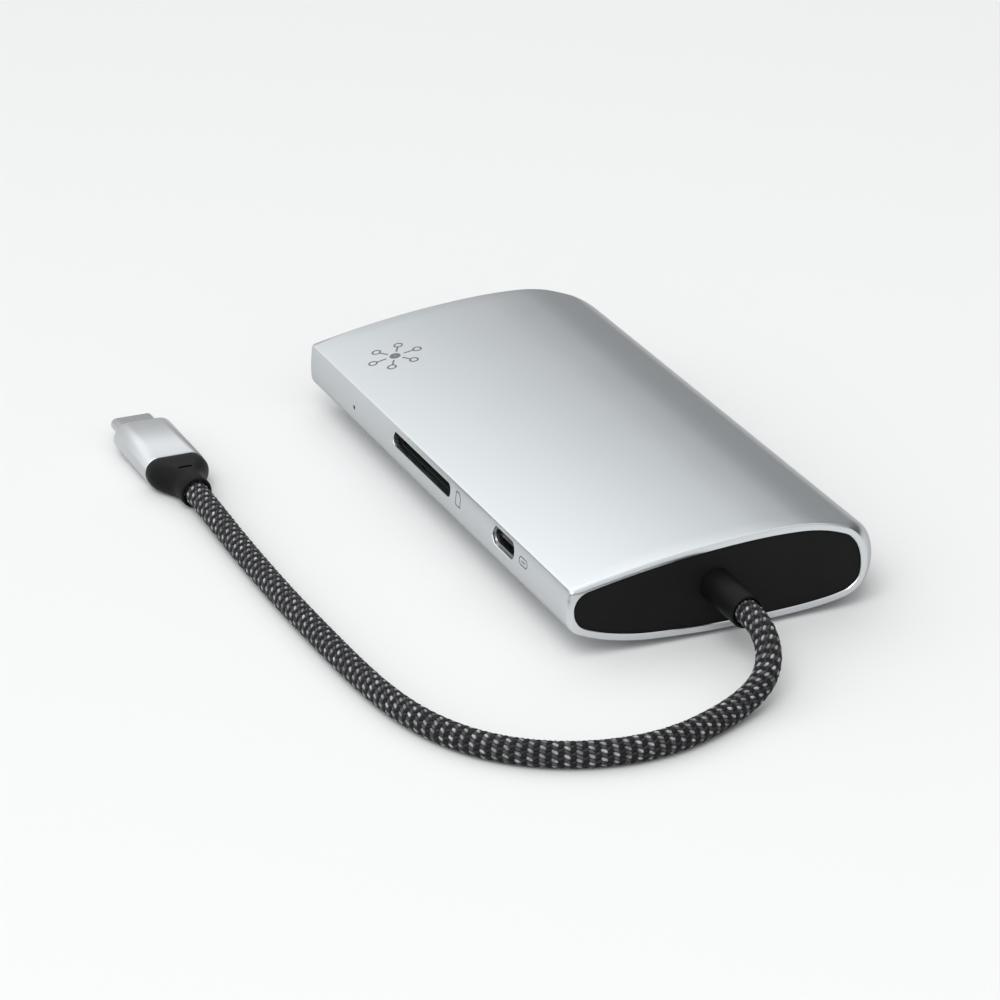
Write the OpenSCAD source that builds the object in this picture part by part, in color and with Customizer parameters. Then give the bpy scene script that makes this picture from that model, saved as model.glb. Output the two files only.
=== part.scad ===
// Slim desktop hub: an extruded aluminium body with a black cap at each end, a card slot and a small
// socket in its thin edge, four sockets in its round edge, a network jack in the rear cap, and a
// captive braided lead that ends in a reversible plug.
// X runs across the body (thin edge at -X, round edge at +X), Y along it (lead leaves at -Y), Z up.
// The origin is under the middle of the body, on the surface that it stands on.

/* [Body] */
// Length of the extruded body
body_l = 117.2; // [110:0.2:124]
// Wall thickness of the extrusion
wall = 1.15; // [1:0.05:1.4]
// Plan radius of the two corners at the thin edge
thin_corner_r = 2.2; // [1.5:0.1:3]
// Plan radius of the two corners at the round edge
round_corner_r = 8; // [6:0.5:9]
// Radius of the cap's upper corner beside the thin edge
cap_corner_r = 2.8; // [1.4:0.1:2.8]
// Depth of the cap faces below the ends of the body
cap_recess = 0.3; // [0.1:0.05:0.6]
// Thickness of the cap plates
cap_t = 2; // [1.5:0.1:2.5]
// Depth that the cap skirts reach into the body
skirt_l = 4; // [3:0.5:6]

/* [Sockets] */
// Height of the thin edge's sockets above the table
thin_port_z = 10.5; // [10.2:0.05:10.7]
// Height of the round edge's sockets above the table
round_port_z = 8.7; // [8.4:0.05:9]
// Place of the card slot along the body
card_y = 4.4; // [0:0.2:8]
// Width of the card slot
card_slot_w = 26; // [25:0.2:26.5]
// Height of the card slot
card_slot_h = 2.6; // [2.4:0.1:2.8]
// Place of the thin edge's small socket along the body
data_y = -31.6; // [-34:0.2:-28]
// Place of the status light along the body
led_y = 36.1; // [32:0.2:40]
// Place of the power socket along the body
power_y = -38; // [-40:0.5:-36]
// Places of the two rectangular sockets along the body
usb_a_y = [-19, 0];
// Place of the video socket along the body
video_y = 20.5; // [18:0.5:23]
// Place of the network jack across the body
jack_x = 6; // [4:0.5:8]

/* [Board] */
// Thickness of the circuit board
board_t = 1.2; // [1:0.1:1.6]
// Height of the board's upper face above the table
board_z = 8.9; // [8.7:0.05:9]

/* [Lead] */
// Diameter of the braided lead
cord_d = 4.4; // [4:0.1:4.6]
// Outer diameter of the hub's strain relief
boot_d = 5.9; // [5.6:0.1:6.4]
// Length that the strain relief stands out of the cap
boot_l = 11.8; // [10:0.2:14]

/* [Plug] */
// Width of the plug's grip
grip_w = 11.6; // [11:0.1:12.5]
// Thickness of the plug's grip
grip_t = 5.8; // [5.4:0.1:6]
// Length of the plug's metal grip
grip_l = 17.3; // [16:0.1:20]

/* [Hidden] */

$fn = 48;
half_l = body_l / 2;

// The outline of the body: a start point and heading at the sharp upper edge, then arcs that follow
// on from each other clockwise as [radius, turn in degrees]. One last arc closes it at the start.
edge_pt = [-29.05, 13.2];
edge_heading = 10.2;
outline_arcs = [
    [560, 1.3], [186, 6.4], [94, 5.5], [29, 11], [140, 2], [10, 27.3], [7, 46.5], [4.5, 56.5],
    [11.5, 23.5], [85, 7], [205, 7.5], [46.5, 10.5], [14, 23], [6.5, 35]
];
outline_half_w = 29.75;

function inward(a) = [sin(a), -cos(a)];
function unit(v) = v / norm(v);

// Joints, headings, centres and radii of the outline, worked out arc by arc.
function headings(i = 0, a = edge_heading) =
    i == len(outline_arcs) ? [a] : concat([a], headings(i + 1, a - outline_arcs[i][1]));
heads = headings();
function joints(i = 0, p = edge_pt) =
    i == len(outline_arcs) ? [p] : concat([p], joints(i + 1,
        p + outline_arcs[i][0] * (inward(heads[i]) - inward(heads[i + 1]))));
joint_pts = joints();
last = len(outline_arcs);
close_v = edge_pt - joint_pts[last];
close_r = close_v * close_v / (2 * (close_v * inward(heads[last])));
radii = concat([for (a = outline_arcs) a[0]], [close_r]);
centres = [for (i = [0:last]) joint_pts[i] + radii[i] * inward(heads[i])];

// Points along one round stretch, turning clockwise from the direction v0 out of its centre.
step_turn = 6;
step_l = 3;
function arc_pts(c, r, v0, turn) =
    let (n = ceil(max(turn / step_turn, r * turn * PI / 180 / step_l)), a0 = atan2(v0[1], v0[0]))
    [for (k = [0:n - 1]) c + r * [cos(a0 - turn * k / n), sin(a0 - turn * k / n)]];
function turn_between(v0, v1) = (atan2(v0[1], v0[0]) - atan2(v1[1], v1[0]) + 720) % 360;

// The whole outline, moved inward by t. With t above zero its sharp edge becomes a fillet of radius f.
function corner_centre(t, f) =
    let (c1 = centres[0], c2 = centres[last], r1 = radii[0] - t - f, r2 = close_r - t - f,
         d = norm(c2 - c1), u = (c2 - c1) / d, a = (r1 * r1 - r2 * r2 + d * d) / (2 * d))
    c1 + a * u + sqrt(r1 * r1 - a * a) * [-u[1], u[0]];
function outline_pts(t = 0, f = 0) =
    let (corner = t > 0 ? corner_centre(t, f) : edge_pt)
    [for (i = [0:last])
        let (c = centres[i], from = i == 0 ? corner : joint_pts[i],
             to = i == last ? corner : joint_pts[i + 1])
        each arc_pts(c, radii[i] - t, from - c, turn_between(from - c, to - c)),
     if (t > 0)
        each arc_pts(corner, f, corner - centres[last],
                     turn_between(corner - centres[last], corner - centres[0]))];

module outline_outer() {
    polygon(outline_pts());
}

module outline_inset(t, f) {
    polygon(outline_pts(t, f));
}

// Stands an X-Z outline up as a prism along Y from y0 to y1.
module along_y(y0, y1) {
    translate([0, y1, 0])
        rotate([90, 0, 0])
            linear_extrude(y1 - y0)
                children();
}

// The plan of the body, moved inward by t: a rectangle with a small and a large corner at each end.
module plan_prism(t = 0) {
    hw = outline_half_w + 0.05;
    a = thin_corner_r;
    b = round_corner_r;
    translate([0, 0, -1])
        linear_extrude(20) {
            for (s = [-1, 1]) {
                translate([-hw + a, s * (half_l - a)])
                    circle(r = a - t);
                translate([hw - b, s * (half_l - b)])
                    circle(r = b - t, $fn = 96);
            }
            polygon([[-hw + t, -half_l + a], [-hw + a, -half_l + a], [-hw + a, -half_l + t],
                     [hw - b, -half_l + t], [hw - b, -half_l + b], [hw - t, -half_l + b],
                     [hw - t, half_l - b], [hw - b, half_l - b], [hw - b, half_l - t],
                     [-hw + a, half_l - t], [-hw + a, half_l - a], [-hw + t, half_l - a]]);
        }
}

// Outline of a slot with round ends, w wide and h high, centred.
module slot_outline(w, h) {
    square([w - h, h], center = true);
    for (s = [-1, 1])
        translate([s * (w - h) / 2, 0])
            circle(d = h);
}

// Outline of a rectangle with small round corners, centred.
module soft_rect(w, h, r) {
    square([w - 2 * r, h], center = true);
    square([w, h - 2 * r], center = true);
    for (i = [-1, 1], j = [-1, 1])
        translate([i * (w / 2 - r), j * (h / 2 - r)])
            circle(r = r);
}

// Lays an outline of width along Y and height along Z as a prism along X from x0 to x1.
module along_x(x0, x1, y, z) {
    translate([x0, y, z])
        rotate([90, 0, 90])
            linear_extrude(x1 - x0)
                children();
}

module block(x0, x1, y0, y1, z0, z1) {
    translate([x0, y0, z0])
        cube([x1 - x0, y1 - y0, z1 - z0]);
}

// ---- body ----
foot_w = 24;
foot_l = 8;
foot_y = 44;
foot_top = 1.4;
rib_x = 12;
rib_top = 4;
usb_a_w = 13.1;
usb_a_h = 5.7;
video_w = 15;
video_h = 5.6;
usb_c_w = 8.94;
usb_c_h = 3.2;
port_gap = 0.08;
jack_w = 16;
jack_h = 11.4;
jack_z = 3.9;
jack_y0 = 36.2;
jack_y1 = half_l - cap_recess - 0.2;
pipe_d = 0.9;
pipe_z = 9;

module shell() {
    color("silver")
        difference() {
            union() {
                difference() {
                    intersection() {
                        along_y(-half_l, half_l)
                            outline_outer();
                        plan_prism();
                    }
                    along_y(-half_l - 1, half_l + 1)
                        outline_inset(wall, cap_corner_r);
                }
                for (s = [-1, 1])
                    block(s * rib_x - 0.6, s * rib_x + 0.6, -50, 33, 1.6, rib_top);
            }
            for (s = [-1, 1])
                block(-foot_w / 2, foot_w / 2, s * foot_y - foot_l / 2, s * foot_y + foot_l / 2,
                      -1, foot_top);
            along_x(-32, -26, card_y, thin_port_z)
                soft_rect(card_slot_w, card_slot_h, 1.1);
            along_x(-32, -26, data_y, thin_port_z)
                slot_outline(usb_c_w + 2 * port_gap, usb_c_h + 2 * port_gap);
            along_x(26, 32, power_y, round_port_z)
                slot_outline(usb_c_w + 2 * port_gap, usb_c_h + 2 * port_gap);
            for (y = usb_a_y)
                along_x(26, 32, y, round_port_z)
                    soft_rect(usb_a_w + 2 * port_gap, usb_a_h + 2 * port_gap, 0.5);
            along_x(26, 32, video_y, round_port_z)
                video_outline(video_w + 2 * port_gap, video_h + 2 * port_gap);
            translate([-32, led_y, pipe_z])
                rotate([0, 90, 0])
                    cylinder(d = pipe_d + 0.1, h = 6);
        }
}

// The shared form of the two end caps: a plate that follows the body's end, and a skirt behind it.
cap_gap = 0.05;
skirt_t = 1.2;
module cap_form() {
    outer = wall + cap_gap;
    plate_y = half_l - cap_recess - cap_t;
    intersection() {
        union() {
            along_y(plate_y, half_l)
                outline_inset(outer, cap_corner_r - cap_gap);
            difference() {
                along_y(plate_y - skirt_l, plate_y)
                    outline_inset(outer, cap_corner_r - cap_gap);
                along_y(plate_y - skirt_l - 1, plate_y + 0.01)
                    outline_inset(outer + skirt_t, cap_corner_r - cap_gap - skirt_t);
            }
        }
        plan_prism(cap_recess);
    }
}

boot_x = -2.3;
boot_z = 9.2;
boot_flange_d = 9;
boot_flange_l = 1.5;
cap_face_y = -half_l + cap_recess;
module front_cap() {
    color("#1b1b1c")
        difference() {
            mirror([0, 1, 0])
                cap_form();
            translate([boot_x, -half_l - 1, boot_z])
                rotate([-90, 0, 0])
                    cylinder(d = boot_d + 0.1, h = 5);
        }
}

module rear_cap() {
    color("#1b1b1c")
        difference() {
            cap_form();
            block(jack_x - jack_w / 2 - 0.1, jack_x + jack_w / 2 + 0.1, half_l - 9, half_l + 1,
                  jack_z - 0.1, jack_z + jack_h + 0.1);
        }
}

module foot_pads() {
    color("#303032")
        for (s = [-1, 1])
            block(-foot_w / 2, foot_w / 2, s * foot_y - foot_l / 2, s * foot_y + foot_l / 2,
                  0, foot_top);
}

// ---- board and its carrier ----
screw_pts = [[-19, -37], [-19, 42], [17, -50], [19, 46]];
post_d = 4;
carrier_t = 0.8;
screw_d = 1.5;
board_x = 27.6;
board_y0 = -53;
board_y1 = 52;

module board_carrier() {
    color("#3a3d42")
        difference() {
            union() {
                block(-15, 15, -49.5, 32.5, rib_top, rib_top + carrier_t);
                for (p = screw_pts) {
                    arm(p);
                    translate([p[0], p[1], rib_top])
                        cylinder(d = post_d, h = board_z - board_t - rib_top);
                }
            }
            for (p = screw_pts)
                translate([p[0], p[1], rib_top + 0.6])
                    cylinder(d = screw_d + 0.1, h = 10);
        }
}

// A flat arm from the carrier's plate out to a post.
module arm(p) {
    x0 = p[0] < 0 ? p[0] : 14;
    x1 = p[0] < 0 ? -14 : p[0];
    y_in = max(-48, min(31, p[1]));
    block(x0, x1, y_in - 1.4, y_in + 1.4, rib_top, rib_top + carrier_t);
    block(p[0] - 1.4, p[0] + 1.4, min(p[1], y_in - 1.4), max(p[1], y_in + 1.4),
          rib_top, rib_top + carrier_t);
}

module carrier_screws() {
    color("#9a9ca0")
        for (p = screw_pts)
            translate([p[0], p[1], board_z]) {
                translate([0, 0, -4])
                    cylinder(d = screw_d, h = 4);
                difference() {
                    cylinder(d = 3, h = 0.8);
                    for (a = [0, 90])
                        rotate(a)
                            translate([-0.8, -0.15, 0.4])
                                cube([1.6, 0.3, 1]);
                }
            }
}

module main_board() {
    color("#1d3a2a")
        difference() {
            union() {
                block(-board_x, board_x, board_y0 + 3, board_y1 - 3, board_z - board_t, board_z);
                block(-board_x + 8, board_x - 8, board_y0, board_y1, board_z - board_t, board_z);
            }
            block(jack_x - jack_w / 2 - 0.2, jack_x + jack_w / 2 + 0.2, jack_y0 - 0.2, 60, 0, 20);
            for (y = usb_a_y)
                block(usb_a_x0 - 0.2, 40, y - usb_a_w / 2 - 0.2, y + usb_a_w / 2 + 0.2, 0, 20);
            block(video_x0 - 0.2, 40, video_y - video_w / 2 - 0.2, video_y + video_w / 2 + 0.2, 0, 20);
            block(power_x0 - 0.2, 40, power_y - usb_c_w / 2 - 0.2, power_y + usb_c_w / 2 + 0.2,
                  0, 20);
            block(boot_x - 3.2, boot_x + 3.2, board_y0 - 1, inner_end_y + 0.5, 0, 20);
            for (p = screw_pts)
                translate([p[0], p[1], 0])
                    cylinder(d = 1.8, h = 20);
        }
}

// ---- small reversible sockets ----
usb_c_t = 0.3;
usb_c_l = 7.4;
mouth_thin_x = -28.8;
mouth_round_x = 28.45;
power_x0 = mouth_round_x - usb_c_l;

module usb_c_shell(x0, x1, back0, back1, y, z) {
    difference() {
        along_x(x0, x1, y, z)
            slot_outline(usb_c_w, usb_c_h);
        along_x(x0 - 1, x1 + 1, y, z)
            slot_outline(usb_c_w - 2 * usb_c_t, usb_c_h - 2 * usb_c_t);
    }
    along_x(back0, back1, y, z)
        slot_outline(usb_c_w - 2 * usb_c_t, usb_c_h - 2 * usb_c_t);
}

module usb_c_data_shell() {
    color("#c9cbce")
        usb_c_shell(mouth_thin_x, mouth_thin_x + usb_c_l, mouth_thin_x + usb_c_l - 0.3,
                    mouth_thin_x + usb_c_l, data_y, thin_port_z);
}

module usb_c_power_shell() {
    color("#c9cbce")
        usb_c_shell(power_x0, mouth_round_x, power_x0, power_x0 + 0.3, power_y, round_port_z);
}

tongue_w = 6.7;
tongue_t = 0.7;
tongue_l = 4.6;
module usb_c_tongue(base_x, tip_x, y, z) {
    s = sign(tip_x - base_x);
    block(min(base_x, tip_x), max(base_x, tip_x), y - tongue_w / 2, y + tongue_w / 2,
          z - tongue_t / 2, z + tongue_t / 2);
    along_x(min(base_x, base_x + s * 2.1), max(base_x, base_x + s * 2.1), y, z)
        slot_outline(usb_c_w - 2 * usb_c_t, usb_c_h - 2 * usb_c_t);
}

module usb_c_data_tongue() {
    color("#151516")
        usb_c_tongue(mouth_thin_x + usb_c_l - 0.3, mouth_thin_x + 0.7, data_y, thin_port_z);
}

module usb_c_power_tongue() {
    color("#151516")
        usb_c_tongue(power_x0 + 0.3, mouth_round_x - 0.7, power_y, round_port_z);
}

// ---- card socket ----
card_x0 = -27.6;
card_x1 = -1;
card_w = 24.3;
card_base_w = 28;
card_z0 = board_z;
card_floor = thin_port_z - 1.15;
card_roof = thin_port_z + 1.15;

module card_socket_base() {
    color("#141415") {
        block(card_x0, card_x1, card_y - card_base_w / 2, card_y + card_base_w / 2,
              card_z0, card_floor);
        for (s = [-1, 1])
            block(card_x0, card_x1, card_y + s * (card_w + card_base_w) / 4 - 0.9,
                  card_y + s * (card_w + card_base_w) / 4 + 0.9, card_floor - 0.1, card_roof);
        block(card_x1 - 2, card_x1, card_y - card_base_w / 2 + 0.1, card_y + card_base_w / 2 - 0.1,
              card_floor - 0.1, card_roof);
    }
}

cover_t = 0.25;
module card_socket_cover() {
    color("#b9bcc0")
        difference() {
            block(card_x0 + 0.6, card_x1 + cover_t, card_y - card_base_w / 2 - cover_t,
                  card_y + card_base_w / 2 + cover_t, board_z, card_roof + cover_t);
            block(card_x0 - 1, card_x1, card_y - card_base_w / 2, card_y + card_base_w / 2,
                  board_z - 1, card_roof);
        }
}

card_contact_n = 9;
card_contact_pitch = 2.5;
module card_socket_contacts() {
    color("#c8a24a")
        for (i = [0:card_contact_n - 1], row = [0, 1])
            translate([card_x1 - 12 + row * 5, card_y + (i - (card_contact_n - 1) / 2)
                       * card_contact_pitch - 0.4, card_floor])
                cube([3.6, 0.8, 0.3]);
}

// ---- rectangular sockets ----
usb_a_l = 14;
usb_a_t = 0.3;
usb_a_x0 = mouth_round_x - usb_a_l;

module usb_a_shell(y) {
    color("#c9cbce") {
        difference() {
            along_x(usb_a_x0, mouth_round_x, y, round_port_z)
                soft_rect(usb_a_w, usb_a_h, 0.4);
            block(usb_a_x0 + usb_a_t, mouth_round_x + 1, y - usb_a_w / 2 + usb_a_t,
                  y + usb_a_w / 2 - usb_a_t, round_port_z - usb_a_h / 2 + usb_a_t,
                  round_port_z + usb_a_h / 2 - usb_a_t);
        }
        for (s = [-1, 1])
            block(usb_a_x0 + 3, usb_a_x0 + 5, y + s * usb_a_w / 2 - (s > 0 ? 0.3 : 0.7),
                  y + s * usb_a_w / 2 + (s > 0 ? 0.7 : 0.3), board_z, board_z + 0.3);
    }
}

module usb_a_tongue(y) {
    z1 = round_port_z + usb_a_h / 2 - usb_a_t;
    color("#1d5fae") {
        block(usb_a_x0 + usb_a_t, usb_a_x0 + usb_a_t + 4, y - usb_a_w / 2 + usb_a_t,
              y + usb_a_w / 2 - usb_a_t, round_port_z - usb_a_h / 2 + usb_a_t, z1);
        block(usb_a_x0 + usb_a_t + 3, mouth_round_x - 0.8, y - 5.55, y + 5.55, z1 - 2.5, z1 - 0.6);
    }
}

module usb_a_shell_1() { usb_a_shell(usb_a_y[0]); }
module usb_a_shell_2() { usb_a_shell(usb_a_y[1]); }
module usb_a_tongue_1() { usb_a_tongue(usb_a_y[0]); }
module usb_a_tongue_2() { usb_a_tongue(usb_a_y[1]); }

module usb_a_contacts() {
    z = round_port_z + usb_a_h / 2 - usb_a_t - 2.5;
    color("#c8a24a")
        for (y = usb_a_y, i = [-1.5, -0.5, 0.5, 1.5])
            block(usb_a_x0 + usb_a_t + 4, mouth_round_x - 1.8, y + i * 2.25 - 0.5,
                  y + i * 2.25 + 0.5, z - 0.2, z);
}

// ---- video socket ----
video_l = 11.5;
video_t = 0.35;
video_x0 = mouth_round_x - video_l;
// A wide outline with its two lower corners cut back.
module video_outline(w, h) {
    polygon([[-w / 2, h / 2], [w / 2, h / 2], [w / 2, -h / 2 + 1.9], [w / 2 - 0.7, -h / 2 + 1.2],
             [w / 2 - 1.4, -h / 2 + 1.2], [w / 2 - 2.1, -h / 2], [-w / 2 + 2.1, -h / 2],
             [-w / 2 + 1.4, -h / 2 + 1.2], [-w / 2 + 0.7, -h / 2 + 1.2], [-w / 2, -h / 2 + 1.9]]);
}

module video_shell() {
    color("#c9cbce")
        difference() {
            along_x(video_x0, mouth_round_x, video_y, round_port_z)
                video_outline(video_w, video_h);
            along_x(video_x0 + video_t, mouth_round_x + 1, video_y, round_port_z)
                video_outline(video_w - 2 * video_t, video_h - 2 * video_t);
        }
}

module video_tongue() {
    color("#151516") {
        along_x(video_x0 + video_t, video_x0 + 4, video_y, round_port_z)
            video_outline(video_w - 2 * video_t, video_h - 2 * video_t);
        block(video_x0 + 3, mouth_round_x - 0.8, video_y - 5.6, video_y + 5.6,
              round_port_z - 0.4, round_port_z + 1);
    }
}

// ---- network jack ----
jack_t = 0.25;
mouth_w = 11.8;
mouth_h = 6.9;
mouth_l = 14;
mouth_z0 = jack_z + 1.9;
latch_w = 6.4;
latch_h = 1.6;

module jack_shield() {
    color("#c9cbce")
        difference() {
            block(jack_x - jack_w / 2, jack_x + jack_w / 2, jack_y0, jack_y1,
                  jack_z, jack_z + jack_h);
            block(jack_x - jack_w / 2 + jack_t, jack_x + jack_w / 2 - jack_t, jack_y0 + jack_t,
                  jack_y1 + 1, jack_z + jack_t, jack_z + jack_h - jack_t);
        }
}

module jack_housing() {
    color("#18181a")
        difference() {
            block(jack_x - jack_w / 2 + jack_t, jack_x + jack_w / 2 - jack_t, jack_y0 + jack_t,
                  jack_y1, jack_z + jack_t, jack_z + jack_h - jack_t);
            block(jack_x - mouth_w / 2, jack_x + mouth_w / 2, jack_y1 - mouth_l, jack_y1 + 1,
                  mouth_z0, mouth_z0 + mouth_h);
            block(jack_x - latch_w / 2, jack_x + latch_w / 2, jack_y1 - mouth_l, jack_y1 + 1,
                  mouth_z0 - latch_h, mouth_z0 + 0.1);
        }
}

module jack_contacts() {
    color("#c8a24a")
        for (i = [0:7])
            translate([jack_x + (i - 3.5) * 1.02, jack_y1 - 5.5, mouth_z0 + mouth_h - 0.05])
                rotate([14, 0, 0])
                    translate([-0.2, -7, -0.35])
                        cube([0.4, 7, 0.35]);
}

module jack_transformer() {
    color("#222326")
        block(-14, -6.5, 20.5, 35, board_z, board_z + 3.6);
}

// ---- light ----
module status_led() {
    color("#e8e8e0")
        block(-26.8, -25.2, led_y - 0.8, led_y + 0.8, board_z, board_z + 0.7);
}

module light_pipe() {
    color("#9fa4a8") {
        translate([-29.3, led_y, pipe_z])
            rotate([0, 90, 0])
                cylinder(d = pipe_d, h = 1.6);
        block(-27.9, -26.9, led_y - 0.6, led_y + 0.6, board_z, board_z + 1.2);
    }
}

// ---- chips and small parts ----
module chip(x, y, w, l, h) {
    block(x - w / 2, x + w / 2, y - l / 2, y + l / 2, board_z, board_z + h);
}
hub_chip = [-9, -24];
hub_chip_h = 0.95;
pad_top = 14.3;
module hub_controller() { color("#202124") chip(hub_chip[0], hub_chip[1], 11, 11, hub_chip_h); }
module video_converter() { color("#202124") chip(6, 14, 8, 8, 0.9); }
module network_controller() { color("#202124") chip(-21, 27, 7, 7, 0.9); }
module power_controller() { color("#202124") chip(8, -38, 6, 6, 0.9); }
module gap_pad() {
    color("#8fa3b3")
        block(hub_chip[0] - 6, hub_chip[0] + 6, hub_chip[1] - 6, hub_chip[1] + 6,
              board_z + hub_chip_h, pad_top);
}

module inductors() {
    color("#3a3a3d")
        for (p = [[16, -46], [14, -29], [8, -29], [-21, -24], [8, 28]])
            translate([p[0], p[1], board_z])
                linear_extrude(2.6)
                    soft_rect(4.2, 4.2, 0.7);
}

module capacitors() {
    color("#b08d62")
        for (i = [0:4], side = [-1, 1])
            chip(3 + side * 5.5, -24 + i * 3 + (side > 0 ? 1 : 0), 1.6, 0.9, 0.8);
}

module crystals() {
    color("#c4c6ca")
        for (p = [[-18, -14.5], [-14, 38], [8, 4]])
            chip(p[0], p[1], 3.2, 2.5, 0.8);
}

// ---- lead, hub end ----
boot_tip_y = cap_face_y - boot_l;
boot_recess_d = 5;
boot_recess_l = 2;
plate_back_y = cap_face_y + cap_t;
inner_end_d = 4.3;
inner_end_y = plate_back_y + 5;

module round_y(d, y0, y1, x, z) {
    translate([x, y0, z])
        rotate([-90, 0, 0])
            cylinder(d = d, h = y1 - y0);
}

module lead_boot() {
    color("#232324")
        difference() {
            union() {
                round_y(boot_d, boot_tip_y, plate_back_y + 0.1, boot_x, boot_z);
                round_y(boot_flange_d, plate_back_y, plate_back_y + boot_flange_l, boot_x, boot_z);
            }
            round_y(boot_recess_d, boot_tip_y - 1, boot_tip_y + boot_recess_l, boot_x, boot_z);
            round_y(inner_end_d + 0.1, boot_tip_y, plate_back_y + 5, boot_x, boot_z);
        }
}

module lead_inner_end() {
    color("#2c2c2e")
        round_y(inner_end_d, boot_tip_y + boot_recess_l, inner_end_y, boot_x, boot_z);
}

module lead_ferrule() {
    color("#b9bcc0")
        difference() {
            round_y(5.6, plate_back_y + boot_flange_l + 0.1, inner_end_y - 0.4, boot_x, boot_z);
            round_y(inner_end_d + 0.1, plate_back_y, inner_end_y + 1, boot_x, boot_z);
        }
}

conductor_z = boot_z + 0.9;
module lead_conductors() {
    color("#a33a2e")
        for (i = [-1.5, -0.5, 0.5, 1.5])
            round_y(0.8, inner_end_y, -46.2, boot_x + i * 0.95, conductor_z);
}

module lead_header() {
    color("#d9d5c8")
        block(boot_x - 3.5, boot_x + 3.5, -46.2, -42.2, board_z, board_z + 2.4);
}

// ---- lead, free part ----
plug_x = -64.4;
plug_z = grip_t / 2;
collar_y = 24.4;
cord_start_y = boot_tip_y + boot_recess_l;
plug_recess_l = 1.2;
// Points along the middle of the lead, from the strain relief round to the plug.
route = [
    [boot_x, cord_start_y, boot_z], [-2.3, -71, 9.2], [-2.4, -74.5, 8.9], [-2.9, -78, 7.9],
    [-4.1, -81.4, 6.2], [-6.3, -84.1, 4.4], [-9.6, -86.3, 3.1], [-14, -88.6, 2.4],
    [-19.5, -91.1, 2.2], [-25, -93.1, 2.2], [-31.5, -94.1, 2.2], [-38, -93.6, 2.2],
    [-44.5, -91.6, 2.2], [-50.5, -88, 2.2], [-55.5, -83, 2.2], [-59.2, -76.8, 2.2],
    [-61.8, -69.4, 2.2], [-63.4, -60.5, 2.2], [-64.2, -50.5, 2.2], [-64.6, -40, 2.2],
    [-64.9, -28.5, 2.2], [-65, -17, 2.2], [-64.9, -6, 2.2], [-64.7, 5, 2.3],
    [-64.5, 15, 2.6], [plug_x, collar_y + plug_recess_l, plug_z]
];
cord_sides = 10;
route_n = len(route);
function route_dir(i) =
    i == 0 || i == route_n - 1 ? [0, i == 0 ? -1 : 1, 0] : unit(route[i + 1] - route[i - 1]);
function route_side(d) = unit(cross(d, [0, 0, 1]));
cord_pts = [
    for (i = [0:route_n - 1], k = [0:cord_sides - 1])
        let (d = route_dir(i), s = route_side(d), u = cross(s, d), a = 360 * (k + 0.5) / cord_sides)
        route[i] + cord_d / 2 * (cos(a) * s + sin(a) * u)
];
function ring(i) = [for (k = [0:cord_sides - 1]) i * cord_sides + k];
cord_faces = concat(
    [[for (k = [cord_sides - 1:-1:0]) k]],
    [for (i = [0:route_n - 2], k = [0:cord_sides - 1], half = [0, 1])
        let (k2 = (k + 1) % cord_sides, a = ring(i), b = ring(i + 1))
        half == 0 ? [a[k], a[k2], b[k2]] : [a[k], b[k2], b[k]]],
    [ring(route_n - 1)]
);

module lead() {
    color("#2a2a2b")
        polyhedron(points = cord_pts, faces = cord_faces, convexity = 10);
}

// ---- plug ----
boot2_l = 11.6;
grip_y0 = collar_y + boot2_l;
grip_y1 = grip_y0 + grip_l;
grip_wall = 0.7;
steel_w = 8.25;
steel_h = 2.4;
steel_l = 6.65;
steel_wall = 0.25;
collar_d = 5.8;

module at_plug(y0, y1) {
    translate([plug_x, 0, plug_z])
        along_y(y0, y1)
            children();
}

module plug_grip() {
    color("#c5c9cc")
        difference() {
            at_plug(grip_y0, grip_y1)
                slot_outline(grip_w, grip_t);
            at_plug(grip_y0 - 1, grip_y1 - 1)
                slot_outline(grip_w - 2 * grip_wall, grip_t - 2 * grip_wall);
            at_plug(grip_y0, grip_y1 + 1)
                slot_outline(steel_w + 0.1, steel_h + 0.1);
        }
}

module plug_boot() {
    color("#232324")
        difference() {
            union() {
                hull() {
                    at_plug(grip_y0 - 3, grip_y0)
                        slot_outline(grip_w - 0.3, grip_t - 0.3, $fn = 32);
                    at_plug(collar_y + 3, collar_y + 3.5)
                        circle(d = collar_d - 0.1, $fn = 32);
                }
                at_plug(collar_y, collar_y + 3.2)
                    circle(d = collar_d);
                at_plug(grip_y0 - 1, grip_y0 + 1.5)
                    slot_outline(grip_w - 2 * grip_wall - 0.1, grip_t - 2 * grip_wall - 0.1);
            }
            at_plug(collar_y - 1, collar_y + plug_recess_l)
                circle(d = 5);
        }
}

core_y0 = grip_y0 + 1.5;
core_y1 = grip_y1 - 1;
plug_board_y1 = core_y1 - 1.5;
module plug_core() {
    color("#1a1a1b")
        difference() {
            at_plug(core_y0, core_y1)
                slot_outline(grip_w - 2 * grip_wall - 0.1, grip_t - 2 * grip_wall - 0.1);
            block(plug_x - 4, plug_x + 4, core_y0 + 1, core_y1 + 1, plug_z - 0.4, plug_z + 0.4);
            at_plug(core_y1 - 4, core_y1 + 1)
                slot_outline(steel_w, steel_h);
        }
}

module plug_board() {
    color("#1d3a2a")
        block(plug_x - 3.9, plug_x + 3.9, core_y0 + 1.1, core_y1 - 4, plug_z - 0.4, plug_z + 0.4);
}

module plug_shell() {
    color("#d5d7d9")
        difference() {
            at_plug(core_y1 - 4, grip_y1 + steel_l)
                slot_outline(steel_w, steel_h);
            at_plug(core_y1 - 3.7, grip_y1 + steel_l + 1)
                slot_outline(steel_w - 2 * steel_wall, steel_h - 2 * steel_wall);
        }
}

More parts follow.
